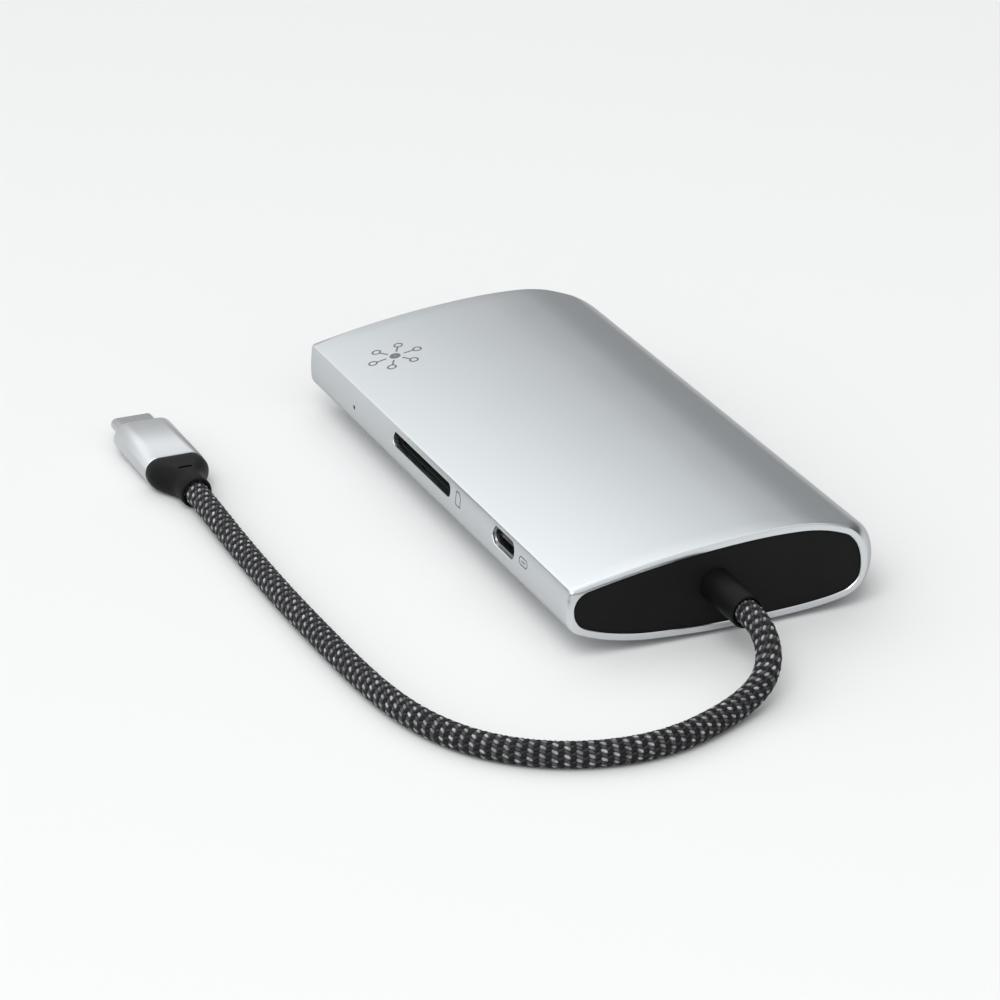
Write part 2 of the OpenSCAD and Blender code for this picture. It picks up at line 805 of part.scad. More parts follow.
module plug_insulator() {
    color("#111112")
        difference() {
            at_plug(core_y1 - 3.7, grip_y1 + steel_l - 0.4)
                slot_outline(steel_w - 2 * steel_wall, steel_h - 2 * steel_wall);
            at_plug(grip_y1, grip_y1 + steel_l)
                slot_outline(6.9, 0.86);
        }
}

module plug_contacts() {
    color("#c8a24a")
        for (i = [-3.5:3.5], s = [-1, 1])
            block(plug_x + i * 0.75 - 0.15, plug_x + i * 0.75 + 0.15, grip_y1 + 1, grip_y1 + 5.2,
                  plug_z + s * 0.38 - 0.05, plug_z + s * 0.38 + 0.05);
}

shell();
front_cap();
rear_cap();
foot_pads();
board_carrier();
carrier_screws();
main_board();
usb_c_data_shell();
usb_c_data_tongue();
usb_c_power_shell();
usb_c_power_tongue();
card_socket_base();
card_socket_cover();
card_socket_contacts();
usb_a_shell_1();
usb_a_tongue_1();
usb_a_shell_2();
usb_a_tongue_2();
usb_a_contacts();
video_shell();
video_tongue();
jack_shield();
jack_housing();
jack_contacts();
jack_transformer();
status_led();
light_pipe();
hub_controller();
video_converter();
network_controller();
power_controller();
gap_pad();
inductors();
capacitors();
crystals();
lead_boot();
lead_ferrule();
lead_inner_end();
lead_conductors();
lead_header();
lead();
plug_grip();
plug_boot();
plug_core();
plug_board();
plug_shell();
plug_insulator();
plug_contacts();
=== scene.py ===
"""Looks of a slim desktop hub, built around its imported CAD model.

The object's dimensions and the camera's place are in millimetres and become metres where they are
used. The room (floor and lights) is in metres.
X runs across the body (thin edge at -X), Y along it (the lead leaves at -Y), Z up.
"""

import math

import bmesh
import bpy
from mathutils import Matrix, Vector


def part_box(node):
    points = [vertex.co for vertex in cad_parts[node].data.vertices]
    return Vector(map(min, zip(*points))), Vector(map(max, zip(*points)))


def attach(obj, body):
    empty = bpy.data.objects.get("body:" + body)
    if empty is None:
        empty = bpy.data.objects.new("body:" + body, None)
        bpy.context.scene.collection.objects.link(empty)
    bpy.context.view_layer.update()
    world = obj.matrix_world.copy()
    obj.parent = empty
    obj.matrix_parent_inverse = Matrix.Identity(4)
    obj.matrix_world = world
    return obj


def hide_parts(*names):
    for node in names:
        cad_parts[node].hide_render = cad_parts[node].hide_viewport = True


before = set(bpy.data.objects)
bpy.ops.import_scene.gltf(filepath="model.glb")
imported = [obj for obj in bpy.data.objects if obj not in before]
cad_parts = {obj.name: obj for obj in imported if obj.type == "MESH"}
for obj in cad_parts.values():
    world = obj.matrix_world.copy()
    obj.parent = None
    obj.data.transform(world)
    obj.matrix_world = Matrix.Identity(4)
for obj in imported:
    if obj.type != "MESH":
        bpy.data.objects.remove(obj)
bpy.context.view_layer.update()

MM = 0.001
ROOT = "root"


# ---------------------------------------------------------------- camera
# Angles in degrees: the azimuth turns from +Y towards +X, the pitch is how far it looks down.
CAMERA_AT = (-289.07, -622.84, 311.40)
CAMERA_AZIMUTH = 23.67
CAMERA_PITCH = 24.4
CAMERA_LENS = 151.2


def make_camera():
    """The camera of the main view."""
    data = bpy.data.cameras.new("camera")
    data.lens = CAMERA_LENS
    data.sensor_width = 36
    data.clip_start = 0.05
    data.clip_end = 50
    cam = bpy.data.objects.new("camera", data)
    bpy.context.collection.objects.link(cam)
    a, e = math.radians(CAMERA_AZIMUTH), math.radians(CAMERA_PITCH)
    look = Vector((math.sin(a) * math.cos(e), math.cos(a) * math.cos(e), -math.sin(e)))
    cam.location = Vector(CAMERA_AT) * MM
    cam.rotation_mode = "QUATERNION"
    cam.rotation_quaternion = look.to_track_quat("-Z", "Y")
    bpy.context.scene.camera = cam


# ---------------------------------------------------------------- mesh helpers
MERGE = 0.0005


def make_object(name, verts, faces, smooth_angle=35):
    """A mesh object from points in millimetres."""
    mesh = bpy.data.meshes.new(name)
    mesh.from_pydata([Vector(v) * MM for v in verts], [], faces)
    mesh.validate()
    obj = bpy.data.objects.new(name, mesh)
    bpy.context.collection.objects.link(obj)
    tidy_mesh(obj, smooth_angle)
    return obj


def tidy_mesh(obj, smooth_angle):
    """Merges doubled points, turns all faces outward and shades smooth up to an angle."""
    bm = bmesh.new()
    bm.from_mesh(obj.data)
    bmesh.ops.remove_doubles(bm, verts=bm.verts, dist=MERGE * MM)
    bmesh.ops.dissolve_degenerate(bm, edges=bm.edges, dist=MERGE * MM)
    bmesh.ops.recalc_face_normals(bm, faces=bm.faces)
    limit = math.radians(smooth_angle)
    for f in bm.faces:
        f.smooth = True
    for e in bm.edges:
        e.smooth = len(e.link_faces) == 2 and e.calc_face_angle(0) < limit
    bm.to_mesh(obj.data)
    bm.free()


def finish_piece(obj, material, replaces=()):
    """Gives a piece its material, hangs it under the root's empty and hides the CAD nodes that it
    stands for.
    """
    obj.data.materials.clear()
    obj.data.materials.append(material)
    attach(obj, ROOT)
    if replaces:
        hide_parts(*replaces)


def loft(name, rings, capped=True, closed=False, smooth_angle=35):
    """Joins rings of equal length into a tube. closed joins the last ring to the first."""
    n = len(rings[0])
    verts = [p for r in rings for p in r]
    faces = []
    count = len(rings)
    for i in range(count if closed else count - 1):
        a, b = i * n, ((i + 1) % count) * n
        for k in range(n):
            k2 = (k + 1) % n
            faces.append((a + k, a + k2, b + k2, b + k))
    if capped and not closed:
        faces.append(tuple(reversed(range(n))))
        faces.append(tuple((count - 1) * n + k for k in range(n)))
    return make_object(name, verts, faces, smooth_angle)


def cut(obj, cutters, smooth_angle):
    """Subtracts the cutters from obj and deletes them."""
    for c in cutters:
        mod = obj.modifiers.new("cut", "BOOLEAN")
        mod.object = c
        mod.operation = "DIFFERENCE"
        mod.solver = "EXACT"
    deps = bpy.context.evaluated_depsgraph_get()
    mesh = bpy.data.meshes.new_from_object(obj.evaluated_get(deps))
    obj.modifiers.clear()
    old = obj.data
    obj.data = mesh
    mesh.name = old.name
    bpy.data.meshes.remove(old)
    for c in cutters:
        data = c.data
        bpy.data.objects.remove(c)
        bpy.data.meshes.remove(data)
    tidy_mesh(obj, smooth_angle)


def stadium(w, h, n=40):
    """Points round a slot with half-round ends, w wide and h high."""
    r = h / 2
    half = n // 2
    pts = []
    for side in (1, -1):
        for k in range(half):
            a = math.radians(-90 + 180 * k / (half - 1))
            pts.append((side * (w / 2 - r + r * math.cos(a)), side * r * math.sin(a)))
    return pts


def soft_rect(w, h, r, n=6):
    """Points round a rectangle with corner radius r, n steps to a corner."""
    pts = []
    for cx, cy, start in ((1, -1, -90), (1, 1, 0), (-1, 1, 90), (-1, -1, 180)):
        for k in range(n + 1):
            a = math.radians(start + 90 * k / n)
            pts.append((cx * (w / 2 - r) + r * math.cos(a), cy * (h / 2 - r) + r * math.sin(a)))
    return pts


def circle(cx, cy, r, n=64):
    """Points round a circle."""
    return [
        (cx + r * math.cos(2 * math.pi * k / n), cy + r * math.sin(2 * math.pi * k / n))
        for k in range(n)
    ]


def smoothstep(lo, hi, x):
    """Eases from 0 at lo to 1 at hi."""
    t = min(1, max(0, (x - lo) / (hi - lo)))
    return t * t * (3 - 2 * t)


# ---------------------------------------------------------------- materials
class Nodes:
    """A short way to write a node tree: each call adds one node and returns its output."""

    def __init__(self, name):
        self.mat = bpy.data.materials.new(name)
        self.mat.use_nodes = True
        self.tree = self.mat.node_tree
        self.tree.nodes.clear()
        self.out = self.tree.nodes.new("ShaderNodeOutputMaterial")
        self.shader = self.tree.nodes.new("ShaderNodeBsdfPrincipled")
        self.tree.links.new(self.shader.outputs[0], self.out.inputs[0])

    def link(self, source, target):
        self.tree.links.new(source, target)

    def place(self, scale=(1, 1, 1)):
        """The object's own coordinates, stretched by scale."""
        coords = self.tree.nodes.new("ShaderNodeTexCoord")
        mapping = self.tree.nodes.new("ShaderNodeMapping")
        mapping.inputs["Scale"].default_value = scale
        self.link(coords.outputs["Object"], mapping.inputs["Vector"])
        return mapping.outputs[0]

    def noise(self, where, scale, detail=2, rough=0.5):
        node = self.tree.nodes.new("ShaderNodeTexNoise")
        node.inputs["Scale"].default_value = scale
        node.inputs["Detail"].default_value = detail
        node.inputs["Roughness"].default_value = rough
        self.link(where, node.inputs["Vector"])
        return node.outputs["Fac"]

    def spread(self, value, lo, hi):
        """Maps a 0 to 1 value on to lo to hi."""
        node = self.tree.nodes.new("ShaderNodeMapRange")
        node.inputs["To Min"].default_value = lo
        node.inputs["To Max"].default_value = hi
        self.link(value, node.inputs["Value"])
        return node.outputs[0]

    def ramp(self, value, stops):
        """Maps a value on to colours, each stop a place and a colour."""
        node = self.tree.nodes.new("ShaderNodeValToRGB")
        ramp = node.color_ramp
        ramp.elements[0].position, ramp.elements[0].color = stops[0][0], (*stops[0][1], 1)
        ramp.elements[1].position, ramp.elements[1].color = stops[-1][0], (*stops[-1][1], 1)
        for at, colour in stops[1:-1]:
            ramp.elements.new(at).color = (*colour, 1)
        self.link(value, node.inputs[0])
        return node.outputs[0]

    def bump(self, height, strength, depth):
        node = self.tree.nodes.new("ShaderNodeBump")
        node.inputs["Strength"].default_value = strength
        node.inputs["Distance"].default_value = depth
        self.link(height, node.inputs["Height"])
        return node.outputs[0]

    def attribute(self, name):
        node = self.tree.nodes.new("ShaderNodeAttribute")
        node.attribute_name = name
        return node.outputs["Fac"]

    def set(self, **values):
        """Sets the shader's constant sockets, with _ for a space in their names."""
        for key, value in values.items():
            self.shader.inputs[key.replace("_", " ")].default_value = value


def shade(colour, k):
    """The colour made k times as bright."""
    return tuple(min(1, c * k) for c in colour)


def blasted_metal(name, colour, roughness, grain=0.02, edge=1.0):
    """Bead blasted, anodised aluminium: a fine even grain with slight changes in sheen.

    edge is how much of the colour is left where the surface is seen at a grazing angle.
    """
    m = Nodes(name)
    where = m.place()
    fine = m.noise(where, 7000, 3, 0.6)
    broad = m.noise(where, 60, 2)
    tones = m.ramp(fine, [(0.3, shade(colour, 0.975)), (0.7, shade(colour, 1.02))])
    m.link(tones, m.shader.inputs["Base Color"])
    m.link(m.spread(broad, roughness - 0.02, roughness + 0.02), m.shader.inputs["Roughness"])
    m.link(m.bump(fine, grain, 0.00004), m.shader.inputs["Normal"])
    m.set(Metallic=1.0, Specular_Tint=(edge, edge, edge, 1))
    return m.mat


def polished_metal(name, colour, roughness):
    """Plated sheet metal with faint drawing lines and small stains."""
    m = Nodes(name)
    lines = m.noise(m.place((1, 1, 14)), 900, 3, 0.6)
    stains = m.noise(m.place(), 240, 4, 0.6)
    m.link(m.ramp(stains, [(0.3, shade(colour, 0.9)), (0.7, colour)]), m.shader.inputs["Base Color"])
    m.link(m.spread(lines, roughness - 0.03, roughness + 0.06), m.shader.inputs["Roughness"])
    m.link(m.bump(lines, 0.06, 0.00003), m.shader.inputs["Normal"])
    m.set(Metallic=1.0)
    return m.mat


def moulded(name, colour, roughness, grain=0.15, size=5200, spec=0.5):
    """Moulded plastic or rubber with a spark-eroded grain."""
    m = Nodes(name)
    where = m.place()
    fine = m.noise(where, size, 3, 0.6)
    broad = m.noise(where, 130, 3)
    tones = m.ramp(broad, [(0.25, shade(colour, 0.9)), (0.75, shade(colour, 1.12))])
    m.link(tones, m.shader.inputs["Base Color"])
    m.link(m.spread(fine, roughness - 0.05, roughness + 0.06), m.shader.inputs["Roughness"])
    m.link(m.bump(fine, grain, 0.00005), m.shader.inputs["Normal"])
    m.set(Specular_IOR_Level=spec)
    return m.mat


def laminate(name, colour):
    """Circuit board: solder mask with tracks that show through it, laid on a square grid."""
    m = Nodes(name)
    node = m.tree.nodes.new("ShaderNodeTexBrick")
    node.inputs["Scale"].default_value = 320
    node.inputs["Mortar Size"].default_value = 0.06
    node.inputs["Color1"].default_value = (*colour, 1)
    node.inputs["Color2"].default_value = (*shade(colour, 0.8), 1)
    node.inputs["Mortar"].default_value = (*shade(colour, 1.9), 1)
    m.link(m.place(), node.inputs["Vector"])
    m.link(node.outputs["Color"], m.shader.inputs["Base Color"])
    m.link(m.bump(node.outputs["Fac"], 0.3, 0.00003), m.shader.inputs["Normal"])
    m.set(Roughness=0.32)
    return m.mat


def yarn(name):
    """Braid yarn: black threads with a pale tracer along the middle of each carrier that has one."""
    m = Nodes(name)
    where = m.place()
    fuzz = m.noise(where, 4200, 4, 0.7)
    tracer = m.attribute("tracer")
    patches = m.spread(m.noise(where, 1100, 2, 0.5), -0.4, 2.0)
    worn = m.tree.nodes.new("ShaderNodeMath")
    worn.operation = "MULTIPLY"
    worn.use_clamp = True
    m.link(tracer, worn.inputs[0])
    m.link(patches, worn.inputs[1])
    dark = m.ramp(fuzz, [(0.3, (0.003, 0.003, 0.0035)), (0.75, (0.012, 0.012, 0.013))])
    pale = m.ramp(fuzz, [(0.3, (0.22, 0.22, 0.23)), (0.75, (0.60, 0.60, 0.61))])
    mix = m.tree.nodes.new("ShaderNodeMix")
    mix.data_type = "RGBA"
    m.link(worn.outputs[0], mix.inputs[0])
    m.link(dark, mix.inputs[6])
    m.link(pale, mix.inputs[7])
    m.link(mix.outputs[2], m.shader.inputs["Base Color"])
    m.link(m.spread(fuzz, 0.5, 0.7), m.shader.inputs["Roughness"])
    m.link(m.bump(fuzz, 0.35, 0.00006), m.shader.inputs["Normal"])
    m.set(Specular_IOR_Level=0.14)
    return m.mat


SILVER = (0.665, 0.69, 0.705)
MATERIALS = {
    "shell": blasted_metal("anodised_silver", SILVER, 0.23, edge=0.6),
    # A brighter metal than the shell: painted highlight on the broken top edge and the rims' bevels.
    "highlight_edge": blasted_metal("painted_highlight_metal", (0.90, 0.91, 0.92), 0.22, 0.01),
    "cap": moulded("cap_black", (0.0065, 0.0065, 0.0068), 0.58, 0.10, 6000, 0.1),
    "boot": moulded("boot_black", (0.0045, 0.0045, 0.0048), 0.48, 0.10, 5200, 0.08),
    "braid": yarn("braid_yarn"),
    "core": moulded("braid_core", (0.01, 0.01, 0.01), 0.7),
    "grip": blasted_metal("anodised_bright", (0.54, 0.555, 0.565), 0.30),
    "steel": polished_metal("plug_nickel", (0.50, 0.50, 0.51), 0.18),
    # Darker than plated steel is: painted shade for the dark insides of the ports, where these shells
    # sit.
    "socket_steel": polished_metal("socket_nickel_shade_darkened", (0.36, 0.365, 0.37), 0.26),
    "socket_plastic": moulded("socket_black", (0.012, 0.012, 0.013), 0.5),
    "blue": moulded("socket_blue", (0.02, 0.13, 0.42), 0.42),
    "gold": polished_metal("contact_gold", (0.86, 0.62, 0.24), 0.28),
    "rubber": moulded("foot_rubber", (0.022, 0.022, 0.023), 0.8, 0.4, 3600, 0.3),
    "tray": moulded("tray_plastic", (0.05, 0.054, 0.06), 0.5),
    "board": laminate("board_green", (0.012, 0.07, 0.035)),
    "epoxy": moulded("chip_epoxy", (0.018, 0.018, 0.02), 0.62, 0.3, 3000),
    "ceramic": moulded("ceramic_brown", (0.30, 0.20, 0.12), 0.5),
    "silicone": moulded("pad_silicone", (0.24, 0.32, 0.40), 0.75, 0.3, 2600),
    "light": moulded("light_grey", (0.30, 0.31, 0.32), 0.35),
    "wire": moulded("wire_red", (0.30, 0.03, 0.02), 0.45),
    "smoke": moulded("window_smoke", (0.02, 0.021, 0.022), 0.3),
    "print": moulded("printed_grey", (0.10, 0.10, 0.105), 0.5),
}

NODE_MATERIALS = {
    "main_board": "board", "plug_board": "board", "board_carrier": "tray",
    "carrier_screws": "socket_steel", "usb_c_data_shell": "socket_steel",
    "usb_c_power_shell": "socket_steel", "card_socket_cover": "socket_steel",
    "usb_a_shell_1": "socket_steel", "usb_a_shell_2": "socket_steel",
    "video_shell": "socket_steel", "jack_shield": "socket_steel",
    "usb_c_data_tongue": "socket_plastic", "usb_c_power_tongue": "socket_plastic",
    "card_socket_base": "socket_plastic", "video_tongue": "socket_plastic",
    "jack_housing": "socket_plastic", "plug_insulator": "socket_plastic",
    "plug_core": "socket_plastic", "usb_a_tongue_1": "blue", "usb_a_tongue_2": "blue",
    "card_socket_contacts": "gold", "usb_a_contacts": "gold", "jack_contacts": "gold",
    "plug_contacts": "gold", "jack_transformer": "epoxy", "hub_controller": "epoxy",
    "video_converter": "epoxy", "network_controller": "epoxy", "power_controller": "epoxy",
    "inductors": "epoxy", "status_led": "light", "lead_header": "light",
    "gap_pad": "silicone", "capacitors": "ceramic", "crystals": "socket_steel",
    "lead_ferrule": "socket_steel", "lead_inner_end": "core", "lead_conductors": "wire",
}


def paint_nodes():
    """Gives each CAD node that shows its own material."""
    for name, key in NODE_MATERIALS.items():
        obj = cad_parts[name]
        obj.data.materials.clear()
        obj.data.materials.append(MATERIALS[key])


# ---------------------------------------------------------------- the lead
# The CAD's own route, from the recess in the boot at the cap to the one in the plug's collar.
CORD_D = 4.4
BRAID_HOLE_R = 2.42
BOOT_X, BOOT_Z = -2.3, 9.2
CAP_FACE_Y = -58.3
BOOT_TIP_Y = CAP_FACE_Y - 11.8
BOOT_R = 2.95
BOOT_RECESS = 2.0
PLUG_X, PLUG_Z = -64.4, 2.9
COLLAR_Y = 24.4
PLUG_RECESS = 1.2
ROUTE = [
    (BOOT_X, BOOT_TIP_Y + BOOT_RECESS, BOOT_Z), (-2.3, -71, 9.2), (-2.4, -74.5, 8.9),
    (-2.9, -78, 7.9), (-4.1, -81.4, 6.2), (-6.3, -84.1, 4.4), (-9.6, -86.3, 3.1),
    (-14, -88.6, 2.4), (-19.5, -91.1, 2.2), (-25, -93.1, 2.2), (-31.5, -94.1, 2.2),
    (-38, -93.6, 2.2), (-44.5, -91.6, 2.2), (-50.5, -88, 2.2), (-55.5, -83, 2.2),
    (-59.2, -76.8, 2.2), (-61.8, -69.4, 2.2), (-63.4, -60.5, 2.2), (-64.2, -50.5, 2.2),
    (-64.6, -40, 2.2), (-64.9, -28.5, 2.2), (-65, -17, 2.2), (-64.9, -6, 2.2),
    (-64.7, 5, 2.3), (-64.5, 15, 2.6), (PLUG_X, COLLAR_Y + PLUG_RECESS, PLUG_Z),
]
# Yarns each way round, the length of one crossing, and the step of the mesh along the cord.
CARRIERS = 18
CROSSING = 1.85
BRAID_STEP = 0.23


def smooth_route(points, step):
    """Points a step apart along one smooth curve through the route."""
    pts = [Vector(p) for p in points]
    ends = [pts[0] + Vector((0, 3, 0))] + pts + [pts[-1] + Vector((0, 3, 0))]
    fine = []
    for i in range(1, len(ends) - 2):
        p0, p1, p2, p3 = ends[i - 1:i + 3]
        t0 = 0.0
        t1 = t0 + math.sqrt((p1 - p0).length)
        t2 = t1 + math.sqrt((p2 - p1).length)
        t3 = t2 + math.sqrt((p3 - p2).length)
        for k in range(40):
            t = t1 + (t2 - t1) * k / 40
            a1 = p0 * ((t1 - t) / (t1 - t0)) + p1 * ((t - t0) / (t1 - t0))
            a2 = p1 * ((t2 - t) / (t2 - t1)) + p2 * ((t - t1) / (t2 - t1))
            a3 = p2 * ((t3 - t) / (t3 - t2)) + p3 * ((t - t2) / (t3 - t2))
            b1 = a1 * ((t2 - t) / (t2 - t0)) + a2 * ((t - t0) / (t2 - t0))
            b2 = a2 * ((t3 - t) / (t3 - t1)) + a3 * ((t - t1) / (t3 - t1))
            fine.append(b1 * ((t2 - t) / (t2 - t1)) + b2 * ((t - t1) / (t2 - t1)))
    fine.append(pts[-1])
    for _ in range(60):
        fine = [fine[0]] + [
            (fine[i - 1] + fine[i] * 2 + fine[i + 1]) / 4 for i in range(1, len(fine) - 1)
        ] + [fine[-1]]
    length = sum((b - a).length for a, b in zip(fine, fine[1:]))
    count = round(length / step)
    out, i, gone = [fine[0]], 0, 0.0
    for k in range(1, count):
        want = length * k / count
        while gone + (fine[i + 1] - fine[i]).length < want:
            gone += (fine[i + 1] - fine[i]).length
            i += 1
        seg = fine[i + 1] - fine[i]
        out.append(fine[i] + seg * ((want - gone) / seg.length))
    out.append(fine[-1])
    return out, length


def frames_along(points):
    """A side and an up vector at each point, across the line, turning as little as they can."""
    out = []
    side = Vector((1, 0, 0))
    for i in range(len(points)):
        a, b = points[max(0, i - 1)], points[min(len(points) - 1, i + 1)]
        d = (b - a).normalized()
        side = (side - d * side.dot(d)).normalized()
        out.append((side, d.cross(side)))
    return out


# How pale the yarn is on every other carrier, for each way round the braid.
CARRIER_TONES = {1: (1.0, 0.2), -1: (0.05, 0.0)}


def make_lead():
    """The braid of interlaced yarns, the core under it, and the cord's path and length in metres."""
    line, length = smooth_route(ROUTE, BRAID_STEP)
    frames = frames_along(line)
    step = length / (len(line) - 1)
    r_out, weave, thick = CORD_D / 2, 0.11, 0.17
    pitch = CROSSING * CARRIERS
    half_angle = math.pi / CARRIERS * 0.97
    # One carrier's section: place across it and height over its edges, as fractions.
    section = [(-1.0, 0.0), (-0.62, 0.72), (0.0, 1.0), (0.62, 0.72), (1.0, 0.0)]
    n = len(section)
    verts, faces, tracer = [], [], []
    for turn in (1, -1):
        for c in range(CARRIERS):
            start = len(verts)
            tone = CARRIER_TONES[turn][c % 2]
            for i, p in enumerate(line):
                side, up = frames[i]
                s = i * step
                a = 2 * math.pi * (turn * s / pitch + c / CARRIERS)
                lift = turn * math.cos(2 * math.pi * s / CROSSING)
                lift = math.copysign(abs(lift) ** 0.7, lift)
                base = r_out - thick - weave + weave * lift
                wide = half_angle * (0.86 + 0.10 * lift)
                over = tone if turn < 0 else tone * smoothstep(-0.1, 0.75, lift)
                crossing = round(s / CROSSING)
                over *= 0.5 + 0.5 * abs(math.sin(crossing * 2.4 + c * 1.7))
                for across, high in section:
                    da = across * wide
                    r = base + high * thick
                    verts.append(p + (side * math.cos(a + da) + up * math.sin(a + da)) * r)
                    tracer.append(over * (1 - 0.5 * abs(across)))
            for i in range(len(line) - 1):
                for k in range(n - 1):
                    v = start + i * n + k
                    faces.append((v, v + 1, v + n + 1, v + n))
    mesh = bpy.data.meshes.new("lead_braid")
    mesh.from_pydata([v * MM for v in verts], [], faces)
    layer = mesh.attributes.new("tracer", "FLOAT", "POINT")
    layer.data.foreach_set("value", tracer)
    mesh.polygons.foreach_set("use_smooth", [True] * len(faces))
    braid = bpy.data.objects.new("lead_braid", mesh)
    bpy.context.collection.objects.link(braid)

    core_r = r_out - 0.3
    rings = []
    for i in range(0, len(line), 5):
        side, up = frames[i]
        rings.append([
            line[i] + (side * math.cos(t) + up * math.sin(t)) * core_r
            for t in (2 * math.pi * k / 20 for k in range(20))
        ])
    core = loft("lead_core", rings)
    path = [tuple(p * MM) for p in line[::6]] + [tuple(line[-1] * MM)]
    return braid, core, path, length * MM


make_camera()
paint_nodes()
braid, core, lead_path, lead_length = make_lead()


# ---------------------------------------------------------------- body outline
# The sharp upper edge and the top's slope there in degrees, then the radius and the turn of each arc:
# over the top, round the nose, back under the body and up the thin wall.
EDGE_PT = Vector((-28.95, 12.95))
EDGE_HEADING = 12.6
OUTLINE_ARCS = [
    (196, 3.7), (186, 6.4), (94, 5.5), (29, 11), (140, 2), (10, 27.3), (7, 46.5), (4.5, 56.5),
    (11.5, 23.5), (85, 7), (205, 7.5), (46.5, 10.5), (30, 12), (2.4, 58.2),
]
HALF_L = 58.6
WALL = 1.15


def inward(heading):
    """The direction into the body where the outline runs at a heading in degrees."""
    a = math.radians(heading)
    return Vector((math.sin(a), -math.cos(a)))


def arc_chain():
    """Centre, radius, start and end of each arc of the outline, the closing one last."""
    arcs, p, h = [], EDGE_PT, EDGE_HEADING
    for r, turn in OUTLINE_ARCS:
        c = p + inward(h) * r
        h -= turn
        q = c - inward(h) * r
        arcs.append((c, r, p, q))
        p = q
    gap = EDGE_PT - p
    r = gap.dot(gap) / (2 * gap.dot(inward(h)))
    arcs.append((p + inward(h) * r, r, p, EDGE_PT))
    return arcs


ARCS = arc_chain()
TOP, NOSE_UPPER, NOSE_LOWER, UNDER, THIN_EDGE = ARCS[0], ARCS[6], ARCS[7], ARCS[-3], ARCS[-1]


def corner_centre(f):
    """Centre of a fillet of radius f between the top and the thin wall."""
    c1, c2 = TOP[0], THIN_EDGE[0]
    r1, r2 = TOP[1] - f, THIN_EDGE[1] - f
    d = (c2 - c1).length
    u = (c2 - c1) / d
    a = (r1 * r1 - r2 * r2 + d * d) / (2 * d)
    return c1 + u * a + Vector((-u.y, u.x)) * math.sqrt(max(0, r1 * r1 - a * a))


def arc_samples(c, r, p, q, step_turn, step_l):
    """Points and outward normals along an arc, clockwise from the side of p to that of q."""
    a0 = math.atan2(p.y - c.y, p.x - c.x)
    a1 = math.atan2(q.y - c.y, q.x - c.x)
    turn = (a0 - a1) % (2 * math.pi)
    n = max(1, math.ceil(max(math.degrees(turn) / step_turn, r * turn / step_l)))
    out = []
    for k in range(n):
        a = a0 - turn * k / n
        normal = Vector((math.cos(a), math.sin(a)))
        out.append((c + normal * r, normal))
    return out


# The broken edge's radius, and how far apart the outline's points are, in degrees and in millimetres.
EDGE_BREAK = 0.16
TURN_STEP = 3.0
OUTLINE_STEP, TOP_STEP, WALL_STEP = 0.9, 0.4, 0.2


def body_samples():
    """The body's outline: points and outward normals, with the sharp edge just broken."""
    f = EDGE_BREAK
    centre = corner_centre(f)
    last = len(ARCS) - 1
    step = {0: TOP_STEP, last: WALL_STEP}
    out = []
    for i, (c, r, p, q) in enumerate(ARCS):
        wall_start = len(out)
        start = centre if i == 0 else p
        end = centre if i == last else q
        out += arc_samples(c, r, start, end, TURN_STEP, step.get(i, OUTLINE_STEP))
    out += arc_samples(
        centre, f, centre + (centre - THIN_EDGE[0]), centre + (centre - TOP[0]), 14, 1
    )
    return out, wall_start


# How far the end rim stands inside the body on top, at the thin wall and at the nose, and the stretch
# of X over which it reaches the nose's value.
TOP_IN, WALL_IN, NOSE_IN = 0.13, 0.50, 3.4
NOSE_START, NOSE_END = 19.0, 29.7
# The thin side of the rim and of the cap: how round its corner is, where its flat lies, and how much
# thicker than WALL_IN the metal between them is.
RIM_FILLET = 0.6
CAP_FILLET = 3.1
THIN_WALL = 0.42
RIM_FLAT_X, CAP_FLAT_X = -28.78, -28.36
CAP_HEEL = 3.9
# Length of the top next to the edge over which its points are shifted to meet the rounding.
SLIDE = 10.0


def moved_in(points, t):
    """A closed outline (clockwise) drawn in by t along its own normals."""
    out = []
    n = len(points)
    for i, p in enumerate(points):
        d = (points[(i + 1) % n] - points[i - 1]).normalized()
        out.append(p + Vector((d.y, -d.x)) * t)
    return out


def wall_share(normal):
    """How far a point of the outline belongs to the flat wall at the thin edge, 0 to 1."""
    return smoothstep(0.35, 0.9, -normal.x)


def thin_side(samples, wall_start, top_in, side_in, flat_x, f):
    """The outline drawn in, its thin edge made flat at flat_x and rounded into the top by f.

    The wall's points run up round the corner and meet the top's points where the rounding ends,
    so the body's sharp edge swings inward there and the corner below it stays smooth.
    """
    c, r = TOP[0], TOP[1] - top_in
    x = flat_x + f
    centre = Vector((x, c.y + math.sqrt((r - f) ** 2 - (x - c.x) ** 2)))
    meet = centre - c
    meet_turn = math.atan2(meet.y, meet.x)
    round_turn = math.pi - meet_turn
    out = []
    for p, normal in samples:
        inset = top_in + (side_in - top_in) * wall_share(normal)
        q = p - normal * inset
        out.append(Vector((max(q.x, flat_x), q.y)))
    first = samples[0][0] - c
    turn_0 = math.atan2(first.y, first.x)
    turn_1 = turn_0 - SLIDE / TOP[1]
    for i, (p, _) in enumerate(samples):
        turn = math.atan2(p.y - c.y, p.x - c.x)
        if p.x > 0 or turn < turn_1 or p.y < EDGE_PT.y - 0.1:
            break
        turn = meet_turn + (turn - turn_0) / (turn_1 - turn_0) * (turn_1 - meet_turn)
        out[i] = c + Vector((math.cos(turn), math.sin(turn))) * r
    run, runs = 0.0, {}
    above = samples[0][0]
    for i in range(len(samples) - 1, wall_start - 1, -1):
        run += (samples[i][0] - above).length
        above = samples[i][0]
        runs[i] = run
    reach = f * round_turn + centre.y - out[wall_start].y
    for i, gone in runs.items():
        u = gone / run * reach
        if u < f * round_turn:
            turn = meet_turn + u / f
            out[i] = centre + Vector((math.cos(turn), math.sin(turn))) * f
        else:
            out[i] = Vector((flat_x, centre.y - (u - f * round_turn)))
    return out


